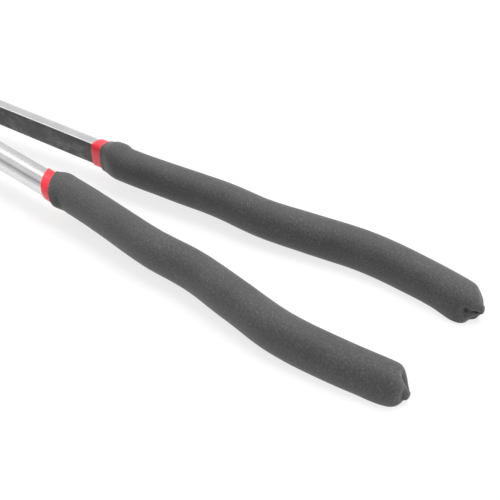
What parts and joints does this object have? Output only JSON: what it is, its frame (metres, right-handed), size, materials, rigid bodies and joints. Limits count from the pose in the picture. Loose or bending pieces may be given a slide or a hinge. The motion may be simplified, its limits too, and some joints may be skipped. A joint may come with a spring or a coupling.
{
  "type": "golf ball retriever",
  "caption": "Two-handled golf ball retriever: long dipped levers crossing at a bolted lap joint close a pair of lined round cups on a ball.",
  "frame": {"origin": "middle of the pivot bolt's flat head", "axes": "+X from the handles towards the cups, +Y towards the left handle, +Z out of the pivot bolt's head along the pivot"},
  "size_m": [0.4778, 0.0696, 0.0504],
  "materials": {
    "plated_steel": "bright zinc plating, dull on the inner flat",
    "cup_steel": "bright zinc plating",
    "black_vinyl": "matte, finely mottled dip",
    "red_vinyl": "glossy dip",
    "zinc_hardware": "zinc plated",
    "bronze": "plain bearing bronze",
    "nylon": "plain"
  },
  "bodies": {
    "left_lever": {"lever_left": "plated_steel", "grip_base_left": "red_vinyl", "grip_cover_left": "black_vinyl", "pivot_bush_left": "bronze", "cup_left": "cup_steel", "cup_lining_left": "black_vinyl", "cup_trim_left": "red_vinyl", "cup_rivet_front_left": "zinc_hardware", "cup_rivet_rear_left": "zinc_hardware", "pivot_bolt": "zinc_hardware", "head_washer": "zinc_hardware", "joint_washer": "bronze", "spring_washer": "zinc_hardware", "pivot_nut": "zinc_hardware", "nut_lock_ring": "nylon"},
    "right_lever": {"lever_right": "plated_steel", "grip_base_right": "red_vinyl", "grip_cover_right": "black_vinyl", "pivot_bush_right": "bronze", "cup_right": "cup_steel", "cup_lining_right": "black_vinyl", "cup_trim_right": "red_vinyl", "cup_rivet_front_right": "zinc_hardware", "cup_rivet_rear_right": "zinc_hardware"}
  },
  "joints": [
    {"name": "pivot_hinge", "type": "hinge", "parent": "left_lever", "child": "right_lever", "pos_m": [0, 0, -0.0107], "axis": [0, 0, 1], "range_deg": [-4.3, 19.5]}
  ]
}
